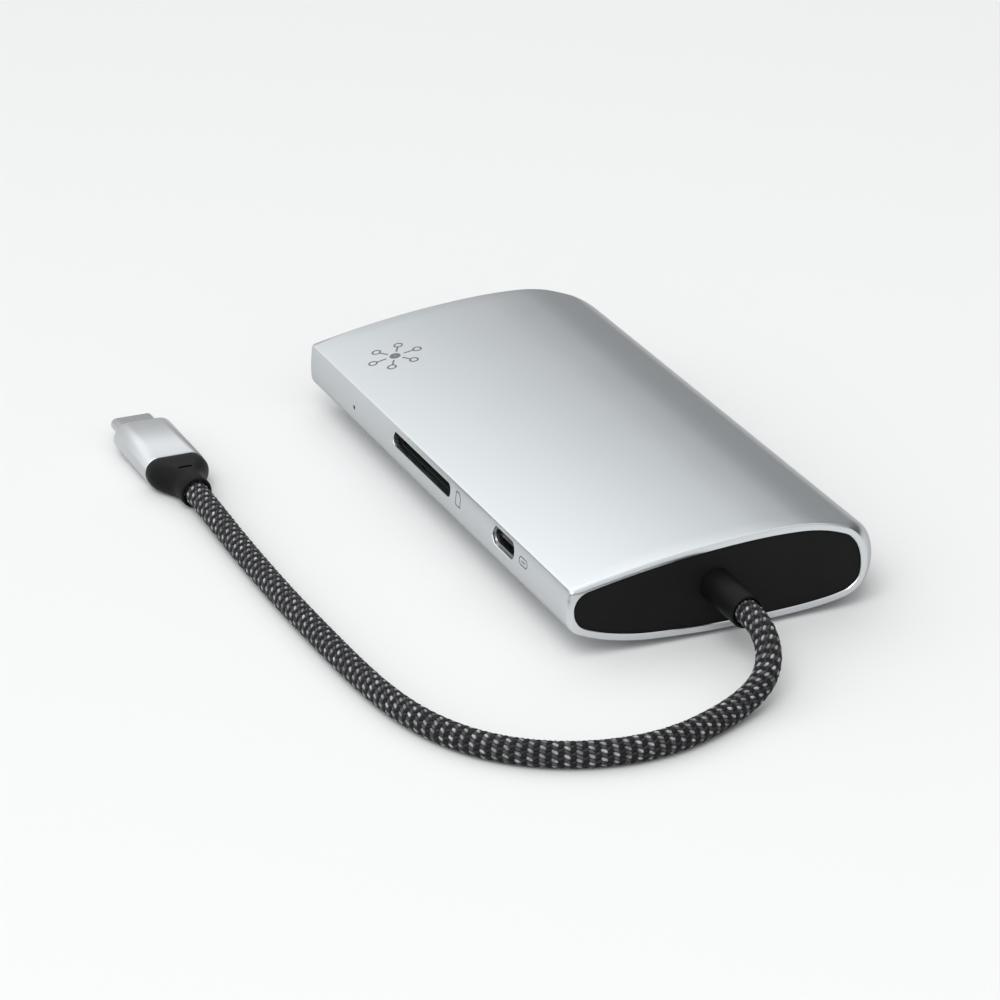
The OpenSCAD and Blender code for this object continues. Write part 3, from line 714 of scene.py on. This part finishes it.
def outlines():
    """The body's outline, the outer edge of its end rim, and the edge of the cap."""
    samples, wall_start = body_samples()
    body = [p for p, _ in samples]
    rim = thin_side(samples, wall_start, TOP_IN, WALL_IN, RIM_FLAT_X, RIM_FILLET)
    for i, p in enumerate(body):
        t = max(0, (p.x - NOSE_START) / (NOSE_END - NOSE_START))
        rim[i] = rim[i] - Vector((NOSE_IN * t ** 1.3, 0))
    thin = thin_side(samples, wall_start, TOP_IN + WALL, WALL_IN + THIN_WALL, CAP_FLAT_X, CAP_FILLET)
    wide = moved_in(rim, WALL)
    cap = [wide[i] if p.x > 0 else thin[i] for i, p in enumerate(body)]
    return body, rim, round_heel(cap)


def round_heel(points):
    """Rounds the cap's lower corner at the thin edge with one large arc."""
    under_c, under_r = UNDER[0], UNDER[1] - TOP_IN - WALL - CAP_HEEL
    x = CAP_FLAT_X + CAP_HEEL
    z = under_c.y - math.sqrt(under_r ** 2 - (x - under_c.x) ** 2)
    centre = Vector((x, z))
    lo = math.pi
    low = centre - under_c
    hi = math.atan2(low.y, low.x) % (2 * math.pi)
    out = []
    for p in points:
        ray = p - centre
        heading = math.atan2(ray.y, ray.x) % (2 * math.pi)
        out.append(centre + ray.normalized() * CAP_HEEL if lo <= heading <= hi else p)
    return out


BODY, RIM, CAP = outlines()


# ---------------------------------------------------------------- shell
# The ends roll over by this angle. At the thin side the roll's radius is no more than END_REACH.
END_ARC = math.radians(50)
END_REACH = 1.3
END_STEPS = 10
CAP_RECESS = 0.3
BEVEL = 0.11
SIDE_STATIONS = 30
# EDGE_BAND is the width along the sharp edge whose faces get the painted highlight metal.
EDGE_BAND = 0.42
PORT_OUT, PORT_IN = 32.5, 27.6
SMALL_PORT = (9.1, 3.36)
FOOT_Y, FOOT_L, FOOT_W = 44.0, 24.0, 8.0


def end_rings(sign):
    """Rings of the shell's end, from the first full section to the rim's outer edge."""
    rings = []
    full = 1 - math.cos(END_ARC)
    for k in range(END_STEPS + 1):
        phi = END_ARC * k / END_STEPS
        w = (1 - math.cos(phi)) / full
        ring = []
        for b, r in zip(BODY, RIM):
            rho = (b - r).length / full
            if b.x < 0:
                rho = min(rho, END_REACH)
            d = rho * (math.sin(END_ARC) - math.sin(phi))
            p = b.lerp(r, w)
            ring.append((p.x, sign * (HALF_L - d - BEVEL * 0.5), p.y))
        rings.append(ring)
    rim_in = moved_in(RIM, BEVEL)
    rings.append([(p.x, sign * HALF_L, p.y) for p in rim_in])
    return rings


def wall_x(z):
    """X of the thin edge's surface at height z."""
    c, r = THIN_EDGE[:2]
    return c.x - math.sqrt(max(0, r * r - (z - c.y) ** 2))


def port_cutter(name, outline, y, z, side, flare=0.12):
    """A tool for a socket's hole, with a small flare where it meets the surface."""
    rings = []
    for out, grow in ((PORT_OUT, flare), (None, flare), (None, 0), (PORT_IN, 0)):
        ring = []
        for a, b in outline:
            k = math.hypot(a, b)
            py, pz = y + a + a / k * grow, z + b + b / k * grow
            if out is not None:
                x = side * out
            else:
                surface = wall_x(pz) if side < 0 else nose_x(pz)
                x = surface - side * (0.0 if grow else flare)
            ring.append((x, py, pz))
        rings.append(ring)
    return loft(name, rings)


def nose_x(z):
    """X of the round edge's surface at height z."""
    c, r = NOSE_UPPER[:2] if z > NOSE_UPPER[3].y else NOSE_LOWER[:2]
    return c.x + math.sqrt(max(0, r * r - (z - c.y) ** 2))


THIN_Z, ROUND_Z = 10.5, 8.7
CARD_Y, DATA_Y, LED_Y, POWER_Y = 4.4, -31.6, 36.1, -38.0
LED_Z = 9.0
USB_A_Y = (-19.0, 0.0)
VIDEO_Y = 20.5


def video_outline(w, h):
    """Points round the video socket's hole, with its lower corners drawn in by a step."""
    pts = [
        (w / 2, h / 2), (-w / 2, h / 2), (-w / 2, -h / 2 + 1.9), (-w / 2 + 0.7, -h / 2 + 1.2),
        (-w / 2 + 1.4, -h / 2 + 1.2), (-w / 2 + 2.1, -h / 2),
    ]
    return pts + [(w / 2 - 2.1, -h / 2), (w / 2 - 1.4, -h / 2 + 1.2), (w / 2 - 0.7, -h / 2 + 1.2),
                  (w / 2, -h / 2 + 1.9)]


def make_shell():
    """The tube with its rolled ends, port holes and foot pockets."""
    front, back = end_rings(-1), end_rings(1)
    rings = list(reversed(front))
    first, last = front[0], back[0]
    for k in range(1, SIDE_STATIONS):
        t = k / SIDE_STATIONS
        rings.append([
            (a[0], a[1] + (b[1] - a[1]) * t, a[2]) for a, b in zip(first, last)
        ])
    rings += back
    lip = moved_in(CAP, -BEVEL)
    for sign, edge, depth in ((1, lip, 0), (1, CAP, BEVEL), (1, CAP, 4), (-1, CAP, 4),
                              (-1, CAP, BEVEL), (-1, lip, 0)):
        rings.append([(p.x, sign * (HALF_L - depth), p.y) for p in edge])
    shell = loft("shell_body", rings, closed=True, smooth_angle=28)
    # Faces on the broken edge and on the rims' bevels take the brighter metal, a painted highlight.
    for f in shell.data.polygons:
        at = f.center / MM
        near_edge = (Vector((at.x, at.z)) - EDGE_PT).length < EDGE_BAND
        on_bevel = abs(abs(at.y) - HALF_L) < BEVEL and abs(f.normal.y) < 0.9
        f.material_index = 1 if near_edge or on_bevel else 0
    cutters = [
        port_cutter("cut_card", soft_rect(26.0, 2.6, 1.15, 7), CARD_Y, THIN_Z, -1),
        port_cutter("cut_data", stadium(*SMALL_PORT), DATA_Y, THIN_Z, -1),
        port_cutter("cut_led", stadium(0.86, 0.84, 24), LED_Y, LED_Z, -1, 0.02),
        port_cutter("cut_power", stadium(*SMALL_PORT), POWER_Y, ROUND_Z, 1),
        port_cutter("cut_video", video_outline(15.16, 5.76), VIDEO_Y, ROUND_Z, 1, 0.1),
    ]
    for i, y in enumerate(USB_A_Y):
        hole = soft_rect(13.26, 5.86, 0.5, 4)
        cutters.append(port_cutter(f"cut_usb_{i}", hole, y, ROUND_Z, 1, 0.1))
    for s in (-1, 1):
        ring = soft_rect(FOOT_L, FOOT_W, 1.5, 5)
        rings = [[(x, y + FOOT_Y * s, z) for x, y in ring] for z in (-1, 1.4)]
        cutters.append(loft(f"cut_foot_{s}", rings))
    cut(shell, cutters, 28)
    return shell


# ---------------------------------------------------------------- caps
def make_cap(name, sign):
    """A cap plate that follows the rim, with a just-rounded face."""
    face_y = HALF_L - CAP_RECESS
    edge = moved_in(CAP, 0.03)
    rings = []
    for t, back in ((0.18, 0.0), (0.06, 0.05), (0.0, 0.16), (0.0, 2.0)):
        rings.append([(p.x, sign * (face_y - back), p.y) for p in moved_in(edge, t)])
    return loft(name, rings, smooth_angle=30)


def box_cutter(name, lo, hi):
    """A box between two corners."""
    xs, ys, zs = zip(lo, hi)
    rings = [[(xs[0], y, zs[0]), (xs[1], y, zs[0]), (xs[1], y, zs[1]), (xs[0], y, zs[1])] for y in ys]
    return loft(name, rings)


def round_ring(r, y, x, z):
    """A circle across Y."""
    return [(a, y, b) for a, b in circle(x, z, r)]


def make_caps():
    """The front plate with the boot's hole, and the rear plate with the opening of the jack."""
    front = make_cap("front_cap_plate", -1)
    hole = [round_ring(BOOT_R + 0.02, y, BOOT_X, BOOT_Z) for y in (-62, -54)]
    cut(front, [loft("cut_boot", hole)], 30)
    rear = make_cap("rear_cap_plate", 1)
    lo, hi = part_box("jack_shield")
    lo, hi = Vector(lo) / MM, Vector(hi) / MM
    cut(rear, [box_cutter("cut_jack", (lo.x - 0.1, 54, lo.z - 0.1), (hi.x + 0.1, 62, hi.z + 0.1))], 30)
    return front, rear


def make_light_window():
    """Smoked window of the status light, set back in its hole."""
    ring = circle(LED_Y, LED_Z, 0.4, 24)
    return loft("light_window", [[(x, a, b) for a, b in ring] for x in (-28.45, -27.7)])


def make_card_throat():
    """Black lining of the card slot, open towards the thin edge."""
    front, back = -28.1, -16.5
    rings = []
    steps = [(25.9, 2.5, back), (25.9, 2.5, front), (25.3, 2.1, front), (24.8, 1.9, back + 0.4)]
    for w, h, x in steps:
        rings.append([(x, CARD_Y + a, THIN_Z + b) for a, b in soft_rect(w, h, 0.5, 4)])
    return loft("card_throat", rings)


# ---------------------------------------------------------------- boots and plug
def make_lead_boot():
    """Plain round strain relief with a thin lip and a short recess that the braid goes into."""
    r_out, r_in = BOOT_R, BRAID_HOLE_R
    tip, root = BOOT_TIP_Y, CAP_FACE_Y + 1.5
    profile = [
        (r_out, root), (r_out, tip + 0.32), (r_out - 0.03, tip + 0.16), (r_out - 0.12, tip + 0.04),
        (r_out - 0.22, tip), (r_in + 0.12, tip), (r_in + 0.03, tip + 0.05), (r_in, tip + 0.2),
        (r_in, tip + BOOT_RECESS), (1.6, tip + BOOT_RECESS),
    ]
    return loft("boot_sleeve", [round_ring(r, y, BOOT_X, BOOT_Z) for r, y in profile], smooth_angle=50)


COLLAR_D = 5.8
COLLAR_SLOT_Y = 30.3
GRIP_W, GRIP_T, GRIP_L = 11.6, 5.8, 17.3
GRIP_Y0 = COLLAR_Y + 11.6
GRIP_Y1 = GRIP_Y0 + GRIP_L
STEEL_W, STEEL_H, STEEL_L = 8.25, 2.4, 6.65


def plug_ring(w, h, y):
    """A section of the plug, w wide and h high."""
    return [(PLUG_X + a, y, PLUG_Z + b) for a, b in stadium(w, h, 72)]


def make_plug_grip():
    """Aluminium sleeve with broken edges, a front face and the opening for the steel tongue."""
    g = 0.35
    steps = [
        (1.4, GRIP_Y0 + 0.02), (0.3, GRIP_Y0), (0.1, GRIP_Y0 + 0.05), (0, GRIP_Y0 + 0.15),
        (0, GRIP_Y1 - g), (0.06, GRIP_Y1 - g * 0.55), (0.22, GRIP_Y1 - g * 0.2), (0.5, GRIP_Y1),
    ]
    rings = [plug_ring(GRIP_W - t, GRIP_T - t, y) for t, y in steps]
    rings.append(plug_ring(STEEL_W + 0.2, STEEL_H + 0.2, GRIP_Y1))
    rings.append(plug_ring(STEEL_W + 0.1, STEEL_H + 0.1, GRIP_Y1 - 0.1))
    rings.append(plug_ring(STEEL_W + 0.1, STEEL_H + 0.1, GRIP_Y1 - 1.2))
    return loft("plug_sleeve", rings, capped=False, smooth_angle=40)


def make_plug_tongue():
    """Drawn steel shell with a rounded tip and a hollow inside."""
    tip = GRIP_Y1 + STEEL_L
    walls = 0.5
    steps = [
        (0, GRIP_Y1 - 1.0), (0, tip - 0.45), (0.05, tip - 0.25), (0.16, tip - 0.08), (0.32, tip),
        (0.44, tip), (walls, tip - 0.06), (walls, tip - 0.3), (walls, tip - 5.8),
    ]
    rings = [plug_ring(STEEL_W - t, STEEL_H - t, y) for t, y in steps]
    return loft("plug_tongue", rings, smooth_angle=50)


def make_plug_boot():
    """Rubber boot that eases from the grip's section to a round collar."""
    rings = []
    y_full, y_round = GRIP_Y0 - 1.6, COLLAR_Y + 3.0
    # Place along the boot, share of the round collar in the section, and how much narrower it is.
    profile = [(GRIP_Y0 + 0.4, 0.0, 1.2), (GRIP_Y0 - 0.02, 0.0, 0.75), (GRIP_Y0 - 0.06, 0.0, 0.4),
               (GRIP_Y0 - 0.3, 0.0, 0.22)]
    for k in range(15):
        t = k / 14
        profile.append((y_full + (y_round - y_full) * t, smoothstep(0, 1, t), 0.2))
    profile += [(COLLAR_Y + 0.3, 1.0, 0.0), (COLLAR_Y + 0.1, 1.0, 0.12), (COLLAR_Y, 1.0, 0.4)]
    for y, t, less in profile:
        collar = COLLAR_D - less * (1 - t) - (less if y < y_round else 0)
        w = (GRIP_W - less) * (1 - t) + collar * t
        h = (GRIP_T - less) * (1 - t) + collar * t
        rings.append(plug_ring(max(w, h + 0.001), h, y))
    inner = BRAID_HOLE_R * 2
    rings.append(plug_ring(inner + 0.001, inner, COLLAR_Y))
    rings.append(plug_ring(inner + 0.001, inner, COLLAR_Y + PLUG_RECESS))
    rings.append(plug_ring(3.2, 3.199, COLLAR_Y + PLUG_RECESS))
    boot = loft("plug_relief", rings, smooth_angle=50)
    ring = soft_rect(2.7, 0.8, 0.35, 4)
    slot = [[(PLUG_X + x, COLLAR_SLOT_Y + y, z) for x, y in ring] for z in (PLUG_Z + 2.2, 8)]
    cut(boot, [loft("cut_slot", slot)], 50)
    return boot


# ---------------------------------------------------------------- feet and marks
def make_feet():
    """Two rubber strips with a rounded lower edge, as one piece."""
    verts, faces = [], []
    for s in (-1, 1):
        base = len(verts)
        rings = []
        for z, grow in ((1.38, -0.2), (0.25, -0.2), (0.06, -0.35), (0.0, -0.7)):
            strip = soft_rect(FOOT_L + grow, FOOT_W + grow, 1.4, 5)
            rings.append([(x, y + FOOT_Y * s, z) for x, y in strip])
        n = len(rings[0])
        verts += [p for r in rings for p in r]
        for i in range(len(rings) - 1):
            for k in range(n):
                a, b = base + i * n, base + (i + 1) * n
                faces.append((a + k, a + (k + 1) % n, b + (k + 1) % n, b + k))
        faces.append(tuple(base + k for k in range(n)))
        faces.append(tuple(base + (len(rings) - 1) * n + k for k in range(n)))
    return make_object("feet", verts, faces, 50)


MARK_LIFT, MARK_DEPTH = 0.02, 0.03
WIDE_LINE, THIN_LINE = 0.34, 0.22


def top_z(x):
    """Height of the body's upper face at x."""
    above = [p for p in BODY if p.y > 10]
    for a, b in zip(above, above[1:]):
        if a.x <= x <= b.x:
            return a.y + (b.y - a.y) * (x - a.x) / (b.x - a.x)
    return EDGE_PT.y


def on_top(u, v):
    """A point of a mark on the body's top, from its X and Y."""
    return Vector((u, v, top_z(u) + MARK_LIFT))


def on_wall(u, v):
    """A point of a mark on the thin edge, from its Y and Z."""
    return Vector((wall_x(v) - MARK_LIFT, u, v))


def printed_line(points, width, lay, closed, out):
    """A printed stroke along points on a face of the body, as a very thin closed band."""
    verts, faces = out
    into = Vector((0, 0, -MARK_DEPTH)) if lay is on_top else Vector((MARK_DEPTH, 0, 0))
    n = len(points)
    base = len(verts)
    for i, p in enumerate(points):
        a = Vector(points[i - 1]) if closed or i else Vector(p)
        b = Vector(points[(i + 1) % n]) if closed or i < n - 1 else Vector(p)
        d = (b - a).normalized()
        side = Vector((-d.y, d.x)) * width / 2
        q = Vector(p)
        for w in (q - side, q + side):
            at = lay(w.x, w.y)
            verts.append(at)
            verts.append(at + into)
    for i in range(n if closed else n - 1):
        a, b = base + 4 * i, base + 4 * ((i + 1) % n)
        for j, k in ((0, 2), (2, 3), (3, 1), (1, 0)):
            faces.append((a + j, a + k, b + k, b + j))
    if not closed:
        e = base + 4 * (n - 1)
        faces.append((base, base + 1, base + 3, base + 2))
        faces.append((e, e + 2, e + 3, e + 1))


def steps_between(a, b, n=8):
    """Points along the line from a to b, so that a long stroke follows the bowed face."""
    return [(a[0] + (b[0] - a[0]) * k / n, a[1] + (b[1] - a[1]) * k / n) for k in range(n + 1)]


def make_marks():
    """Plain printed signs: a hub and spokes on top, a card and a small socket on the thin edge."""
    out = ([], [])
    cx, cy, start, reach, dot = -18.6, 42.5, 1.7, 4.4, 0.75
    stop = reach - dot
    printed_line(circle(cx, cy, 0.6, 40), 0.9, on_top, True, out)
    for k in range(6):
        a = math.pi / 3 * k
        u, v = math.cos(a), math.sin(a)
        spoke = steps_between((cx + start * u, cy + start * v), (cx + stop * u, cy + stop * v))
        printed_line(spoke, WIDE_LINE, on_top, False, out)
        end = circle(cx + reach * u, cy + reach * v, dot, 24)
        printed_line(end, WIDE_LINE, on_top, True, out)
    card = [(-11.2, 9.2), (-11.2, 11.7), (-12.4, 11.7), (-13.1, 11.0), (-13.1, 9.2)]
    corners = list(zip(card, card[1:] + card[:1]))
    card_line = [p for a, b in corners for p in steps_between(a, b)[:-1]]
    printed_line(card_line, THIN_LINE, on_wall, True, out)
    socket_y, socket_z, bar = -40.0, 10.4, 0.8
    socket_line = [(socket_y + a, socket_z + b) for a, b in stadium(3.2, 1.4, 24)]
    printed_line(socket_line, THIN_LINE, on_wall, True, out)
    bar_line = steps_between((socket_y - bar, socket_z), (socket_y + bar, socket_z))
    printed_line(bar_line, THIN_LINE, on_wall, False, out)
    return make_object("printed_marks", *out)


shell = make_shell()
marks = make_marks()
front_cap, rear_cap = make_caps()
lead_boot = make_lead_boot()
plug_grip = make_plug_grip()
plug_tongue = make_plug_tongue()
plug_boot = make_plug_boot()
feet = make_feet()
window = make_light_window()
throat = make_card_throat()

finish_piece(shell, MATERIALS["shell"], ["shell"])
# Second slot: the brighter metal of the painted highlight on the edge and the bevels.
shell.data.materials.append(MATERIALS["highlight_edge"])
finish_piece(front_cap, MATERIALS["cap"], ["front_cap"])
finish_piece(rear_cap, MATERIALS["cap"], ["rear_cap"])
finish_piece(lead_boot, MATERIALS["boot"], ["lead_boot"])
finish_piece(plug_grip, MATERIALS["grip"], ["plug_grip"])
finish_piece(plug_tongue, MATERIALS["steel"], ["plug_shell"])
finish_piece(plug_boot, MATERIALS["boot"], ["plug_boot"])
finish_piece(feet, MATERIALS["rubber"], ["foot_pads"])
finish_piece(throat, MATERIALS["socket_plastic"])
finish_piece(window, MATERIALS["smoke"], ["light_pipe"])
finish_piece(marks, MATERIALS["print"])
finish_piece(core, MATERIALS["core"])
finish_piece(braid, MATERIALS["braid"], ["lead"])


# ---------------------------------------------------------------- room
# Brightness of the room by the sine of the height over the horizon: towards the far right, where the
# body's top is mirrored, and all round. Then its share from the -X to the +X side.
BAND_TOWARD = (0.45, 0.893, 0.0)
BAND_STOPS = [
    (0.0, 0.62), (0.25, 0.62), (0.35, 0.63), (0.42, 0.71), (0.5, 1.1), (0.6, 1.74), (0.72, 1.65),
    (0.85, 0.8), (1.0, 0.6),
]
PLAIN_STOPS = [(0.0, 0.85), (0.35, 0.95), (0.7, 1.2), (0.85, 0.8), (1.0, 0.6)]
SIDE_STOPS = [(0.0, 1.6), (0.5, 1.1), (0.675, 0.95), (0.8, 0.72), (1.0, 0.12)]
ROOM_TINT = (0.985, 1, 1.01)


def make_floor():
    """A pale paper floor just under the feet."""
    size, n, below = 6.0, 24, 0.00005
    steps = [-size + 2 * size * i / n for i in range(n + 1)]
    verts = [(x, y, -below) for y in steps for x in steps]
    corners = [j * (n + 1) + i for j in range(n) for i in range(n)]
    faces = [(c, c + 1, c + n + 2, c + n + 1) for c in corners]
    mesh = bpy.data.meshes.new("floor")
    mesh.from_pydata(verts, [], faces)
    floor = bpy.data.objects.new("floor", mesh)
    bpy.context.collection.objects.link(floor)
    m = Nodes("floor_paper")
    m.set(Base_Color=(0.63, 0.632, 0.63, 1), Roughness=0.9, Specular_IOR_Level=0.1)
    mesh.materials.append(m.mat)


def area_light(name, at, target, size, power):
    """A soft rectangular light aimed at target."""
    data = bpy.data.lights.new(name, "AREA")
    data.shape = "RECTANGLE"
    data.size, data.size_y = size
    data.energy = power
    obj = bpy.data.objects.new(name, data)
    bpy.context.collection.objects.link(obj)
    obj.location = at
    obj.rotation_mode = "QUATERNION"
    obj.rotation_quaternion = (Vector(target) - Vector(at)).to_track_quat("-Z", "Y")


def fill_ramp(ramp, stops, tint):
    """Sets a ramp's stops, each a place and a brightness."""
    for i, (at, level) in enumerate(stops):
        if i == 0:
            stop = ramp.elements[0]
        elif i == len(stops) - 1:
            stop = ramp.elements[-1]
        else:
            stop = ramp.elements.new(at)
        stop.position = at
        stop.color = (*(level * c for c in tint), 1)


def make_world():
    """A pale room with a bright band at mid height towards one side and an even one elsewhere."""
    world = bpy.data.worlds.new("studio")
    bpy.context.scene.world = world
    world.use_nodes = True
    tree = world.node_tree
    tree.nodes.clear()
    link = tree.links.new

    def ramp(value, stops, tint):
        node = tree.nodes.new("ShaderNodeValToRGB")
        link(value, node.inputs[0])
        fill_ramp(node.color_ramp, stops, tint)
        return node.outputs[0]

    def from_range(value, lo, hi):
        node = tree.nodes.new("ShaderNodeMapRange")
        node.inputs["From Min"].default_value = lo
        node.inputs["From Max"].default_value = hi
        link(value, node.inputs["Value"])
        return node.outputs[0]

    heading = tree.nodes.new("ShaderNodeTexCoord").outputs["Generated"]
    split = tree.nodes.new("ShaderNodeSeparateXYZ")
    link(heading, split.inputs[0])
    toward = tree.nodes.new("ShaderNodeVectorMath")
    toward.operation = "DOT_PRODUCT"
    toward.inputs[1].default_value = BAND_TOWARD
    link(heading, toward.inputs[0])
    blend = tree.nodes.new("ShaderNodeMix")
    blend.data_type = "RGBA"
    link(from_range(toward.outputs["Value"], 0.2, 0.75), blend.inputs[0])
    link(ramp(split.outputs["Z"], PLAIN_STOPS, ROOM_TINT), blend.inputs[6])
    link(ramp(split.outputs["Z"], BAND_STOPS, ROOM_TINT), blend.inputs[7])
    back = tree.nodes.new("ShaderNodeBackground")
    link(blend.outputs[2], back.inputs["Color"])
    side = from_range(split.outputs["X"], -1, 1)
    link(ramp(side, SIDE_STOPS, (1, 1, 1)), back.inputs["Strength"])
    out = tree.nodes.new("ShaderNodeOutputWorld")
    link(back.outputs[0], out.inputs[0])


make_floor()
make_world()
area_light("key", (-0.1, 0.1, 1.7), (0, 0, 0), (1.6, 1.6), 4)
area_light("front", (-0.6, -0.7, 1.3), (0, 0, 0), (0.9, 0.9), 12)
bpy.context.scene.view_settings.view_transform = "Standard"
